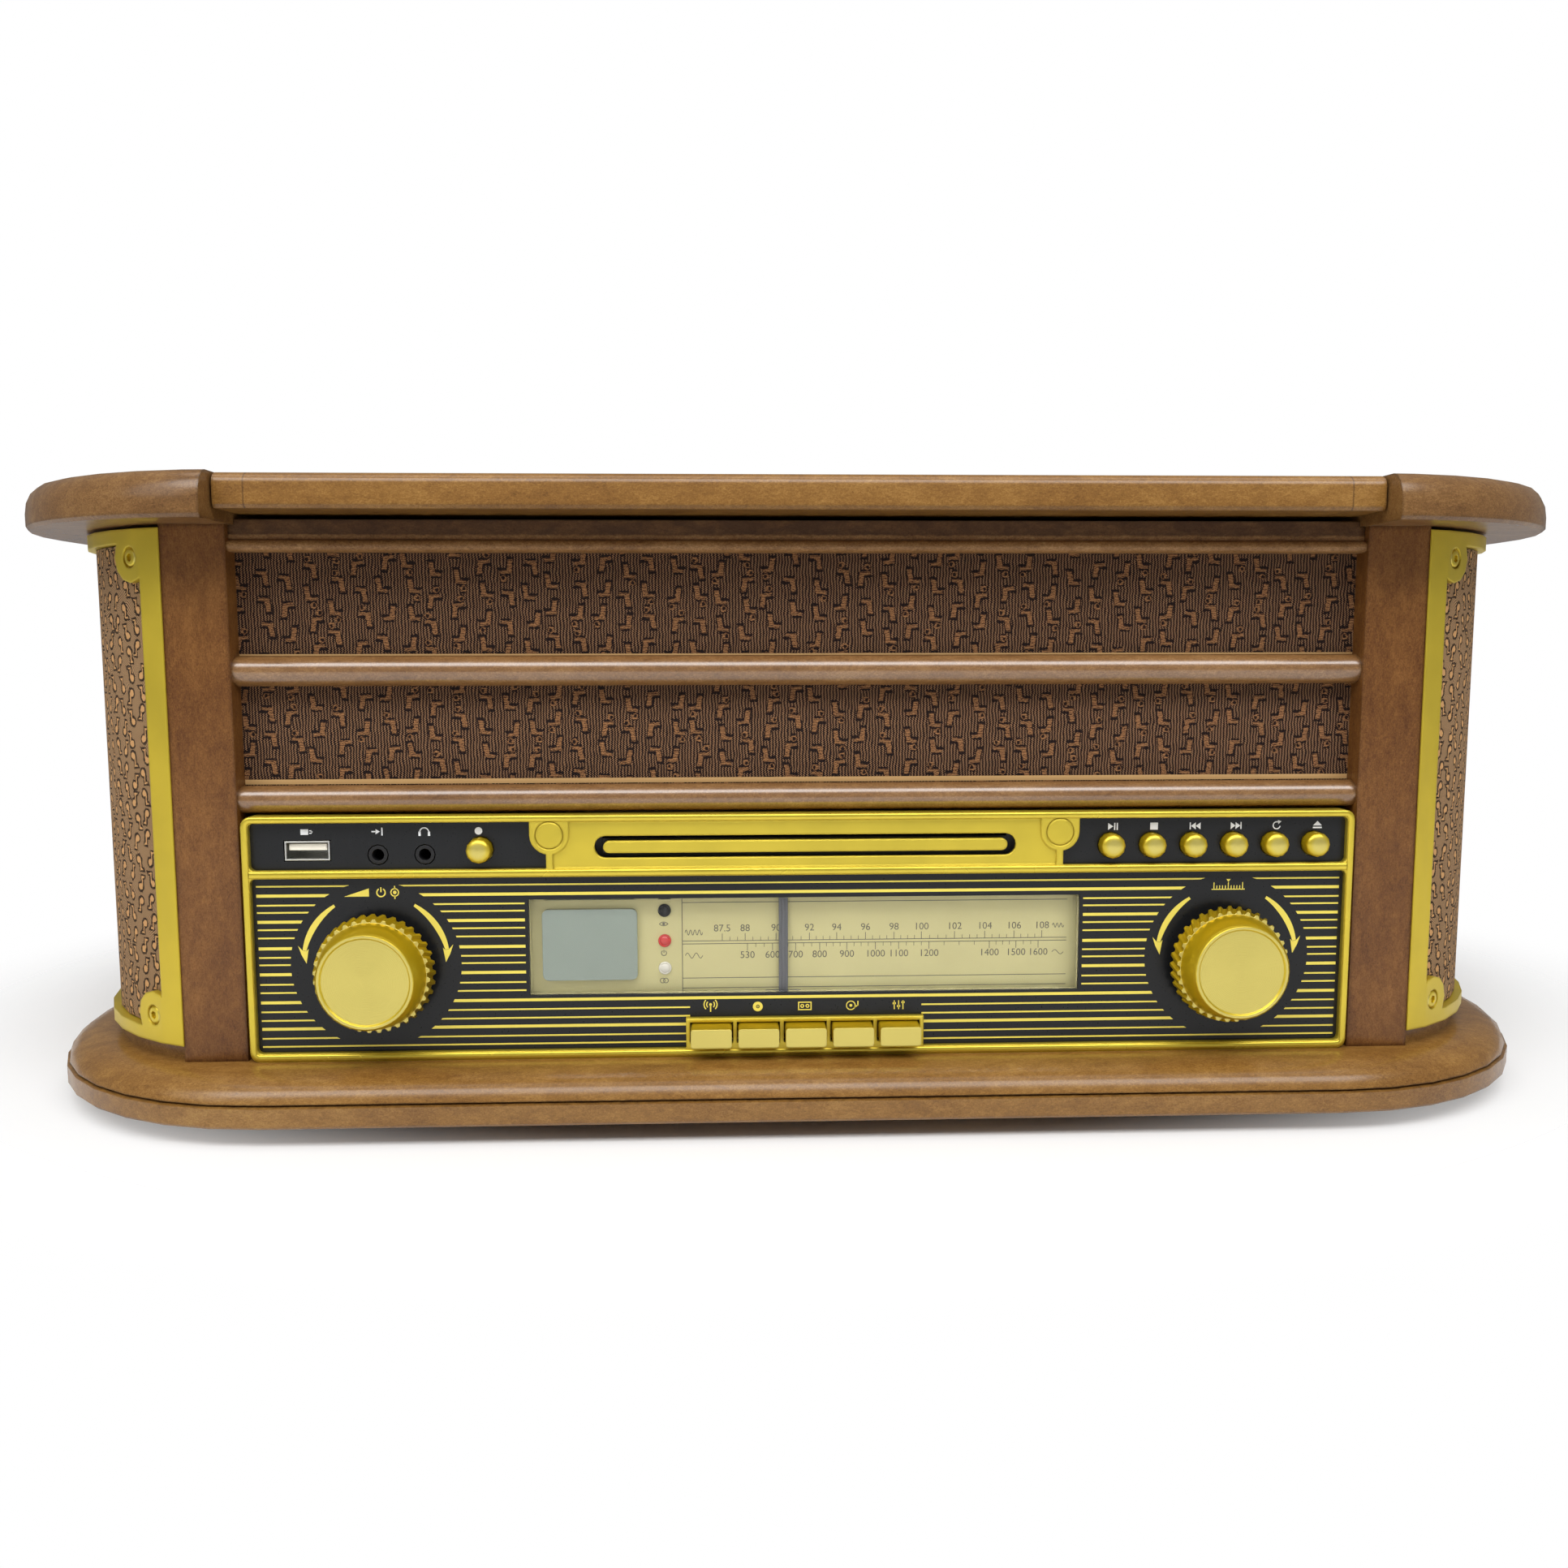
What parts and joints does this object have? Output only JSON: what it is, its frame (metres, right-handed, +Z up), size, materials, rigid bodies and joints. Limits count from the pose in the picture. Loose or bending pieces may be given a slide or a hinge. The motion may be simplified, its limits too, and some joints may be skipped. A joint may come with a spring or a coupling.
{
  "type": "record player",
  "caption": "Table-top music centre in a rounded wooden cabinet: turntable under a lid, dial radio, disc tray, curved side speaker grilles and a tape slot.",
  "frame": {"origin": "Centre of the footprint, on the surface the feet stand on.", "axes": "+X to the right seen from the front, +Y to the back, +Z up; the controls face -Y."},
  "size_m": [0.5, 0.3706, 0.1949],
  "materials": {
    "wood": "walnut-brown satin lacquer",
    "foot_rubber": "matt black rubber",
    "grille_cloth": "dark woven grille cloth",
    "side_cloth": "lighter woven grille cloth",
    "gold_trim": "brushed gold",
    "gold_panel": "gold plated moulding",
    "gold_knob": "gold plated moulding",
    "gold_key": "gold plated moulding",
    "hardboard": "plain brown hardboard",
    "steel": "zinc plated",
    "black_plastic": "fine textured black",
    "grey_plastic": "fine textured grey",
    "aluminium": "turned",
    "mat_rubber": "ribbed black rubber",
    "facia": "glossy black with gold lines",
    "clear_plastic": "clear",
    "dial": "cream, printed scale",
    "display": "grey-green display glass",
    "pointer": "dark needle",
    "circuit": "green circuit board",
    "speaker": "black cone and basket"
  },
  "bodies": {
    "cabinet": {"base_plinth": "wood", "side_board_left": "wood", "side_board_right": "wood", "rail_lower": "wood", "rail_middle": "wood", "rail_top": "wood", "top_cap_left": "wood", "top_cap_right": "wood", "foot_front_left": "foot_rubber", "foot_front_right": "foot_rubber", "foot_rear_left": "foot_rubber", "foot_rear_right": "foot_rubber", "front_grille_board": "grille_cloth", "side_grille_left": "side_cloth", "side_grille_right": "side_cloth", "side_trim_left": "gold_trim", "side_trim_right": "gold_trim", "back_panel": "hardboard", "hinge_cabinet_leaf": "steel", "turntable_motor": "steel", "deck_tray": "black_plastic", "disc_mechanism": "grey_plastic", "front_panel": "gold_panel", "facia_panel": "facia", "dial_window": "clear_plastic", "dial_plate": "dial", "display_module": "display", "socket_board": "circuit", "main_board": "circuit", "speaker_left": "speaker", "speaker_right": "speaker", "tape_deck": "black_plastic"},
    "lid": {"lid": "wood", "hinge_lid_leaf": "steel", "lid_stay": "steel"},
    "platter": {"platter": "aluminium", "platter_mat": "mat_rubber"},
    "tonearm_yoke": {"tonearm_yoke": "grey_plastic"},
    "tonearm": {"tonearm": "grey_plastic"},
    "cue_lever": {"cue_lever": "grey_plastic"},
    "speed_switch": {"speed_switch": "grey_plastic"},
    "volume_knob": {"volume_knob": "gold_knob"},
    "tuning_knob": {"tuning_knob": "gold_knob"},
    "dial_pointer": {"dial_pointer": "pointer"},
    "function_key_1": {"function_key_1": "gold_key"},
    "function_key_2": {"function_key_2": "gold_key"},
    "function_key_3": {"function_key_3": "gold_key"},
    "function_key_4": {"function_key_4": "gold_key"},
    "function_key_5": {"function_key_5": "gold_key"},
    "record_button": {"record_button": "gold_key"},
    "transport_button_1": {"transport_button_1": "gold_key"},
    "transport_button_2": {"transport_button_2": "gold_key"},
    "transport_button_3": {"transport_button_3": "gold_key"},
    "transport_button_4": {"transport_button_4": "gold_key"},
    "transport_button_5": {"transport_button_5": "gold_key"},
    "transport_button_6": {"transport_button_6": "gold_key"},
    "disc_tray": {"disc_tray": "black_plastic", "disc_tray_door": "gold_panel"},
    "tape_flap": {"tape_flap": "black_plastic"},
    "tape_key": {"tape_key": "black_plastic"}
  },
  "joints": [
    {"name": "lid_hinge", "type": "hinge", "parent": "cabinet", "child": "lid", "pos_m": [0, 0.166, 0.183], "axis": [-1, 0, 0], "range_deg": [0, 70]},
    {"name": "platter_spin", "type": "hinge", "parent": "cabinet", "child": "platter", "pos_m": [-0.014, 0.0035, 0.1433], "axis": [0, 0, -1], "continuous": true},
    {"name": "arm_swing", "type": "hinge", "parent": "cabinet", "child": "tonearm_yoke", "pos_m": [0.136, 0.108, 0.15], "axis": [0, 0, -1], "range_deg": [0, 40]},
    {"name": "arm_lift", "type": "hinge", "parent": "tonearm_yoke", "child": "tonearm", "pos_m": [0.136, 0.108, 0.1658], "axis": [-1, 0, 0], "range_deg": [0, 4]},
    {"name": "cue_lever_turn", "type": "hinge", "parent": "cabinet", "child": "cue_lever", "pos_m": [0.157, 0.078, 0.148], "axis": [-1, 0, 0], "range_deg": [0, 50]},
    {"name": "speed_switch_turn", "type": "hinge", "parent": "cabinet", "child": "speed_switch", "pos_m": [0.149, -0.124, 0.14], "axis": [0, 0, 1], "range_deg": [-25, 25]},
    {"name": "volume_turn", "type": "hinge", "parent": "cabinet", "child": "volume_knob", "pos_m": [-0.13015, -0.1642, 0.048], "axis": [0, 1, 0], "range_deg": [0, 300]},
    {"name": "tuning_turn", "type": "hinge", "parent": "cabinet", "child": "tuning_knob", "pos_m": [0.13015, -0.1642, 0.048], "axis": [0, 1, 0], "range_deg": [-170.1, 729.9]},
    {"name": "pointer_slide", "type": "slide", "parent": "cabinet", "child": "dial_pointer", "axis": [1, 0, 0], "range_m": [-0.0189, 0.0811]},
    {"name": "function_key_1_press", "type": "slide", "parent": "cabinet", "child": "function_key_1", "axis": [0, 1, 0], "range_m": [0, 0.0035], "stiffness_N_per_m": 850},
    {"name": "function_key_2_press", "type": "slide", "parent": "cabinet", "child": "function_key_2", "axis": [0, 1, 0], "range_m": [0, 0.0035], "stiffness_N_per_m": 850},
    {"name": "function_key_3_press", "type": "slide", "parent": "cabinet", "child": "function_key_3", "axis": [0, 1, 0], "range_m": [0, 0.0035], "stiffness_N_per_m": 850},
    {"name": "function_key_4_press", "type": "slide", "parent": "cabinet", "child": "function_key_4", "axis": [0, 1, 0], "range_m": [0, 0.0035], "stiffness_N_per_m": 850},
    {"name": "function_key_5_press", "type": "slide", "parent": "cabinet", "child": "function_key_5", "axis": [0, 1, 0], "range_m": [0, 0.0035], "stiffness_N_per_m": 850},
    {"name": "record_button_press", "type": "slide", "parent": "cabinet", "child": "record_button", "axis": [0, 1, 0], "range_m": [0, 0.0012], "stiffness_N_per_m": 1500},
    {"name": "transport_button_1_press", "type": "slide", "parent": "cabinet", "child": "transport_button_1", "axis": [0, 1, 0], "range_m": [0, 0.0012], "stiffness_N_per_m": 1500},
    {"name": "transport_button_2_press", "type": "slide", "parent": "cabinet", "child": "transport_button_2", "axis": [0, 1, 0], "range_m": [0, 0.0012], "stiffness_N_per_m": 1500},
    {"name": "transport_button_3_press", "type": "slide", "parent": "cabinet", "child": "transport_button_3", "axis": [0, 1, 0], "range_m": [0, 0.0012], "stiffness_N_per_m": 1500},
    {"name": "transport_button_4_press", "type": "slide", "parent": "cabinet", "child": "transport_button_4", "axis": [0, 1, 0], "range_m": [0, 0.0012], "stiffness_N_per_m": 1500},
    {"name": "transport_button_5_press", "type": "slide", "parent": "cabinet", "child": "transport_button_5", "axis": [0, 1, 0], "range_m": [0, 0.0012], "stiffness_N_per_m": 1500},
    {"name": "transport_button_6_press", "type": "slide", "parent": "cabinet", "child": "transport_button_6", "axis": [0, 1, 0], "range_m": [0, 0.0012], "stiffness_N_per_m": 1500},
    {"name": "disc_tray_slide", "type": "slide", "parent": "cabinet", "child": "disc_tray", "axis": [0, -1, 0], "range_m": [0, 0.135]},
    {"name": "tape_flap_turn", "type": "hinge", "parent": "cabinet", "child": "tape_flap", "pos_m": [0.2291, -0.009, 0.0488], "axis": [0, 1, 0], "range_deg": [0, 75], "stiffness_Nm_per_rad": 0.01},
    {"name": "tape_key_press", "type": "slide", "parent": "cabinet", "child": "tape_key", "axis": [-1, 0, 0], "range_m": [0, 0.004], "stiffness_N_per_m": 850}
  ],
  "couplings": [
    {"joint": "pointer_slide", "follows": "tuning_turn", "m_per_rad": 0.0063662}
  ]
}
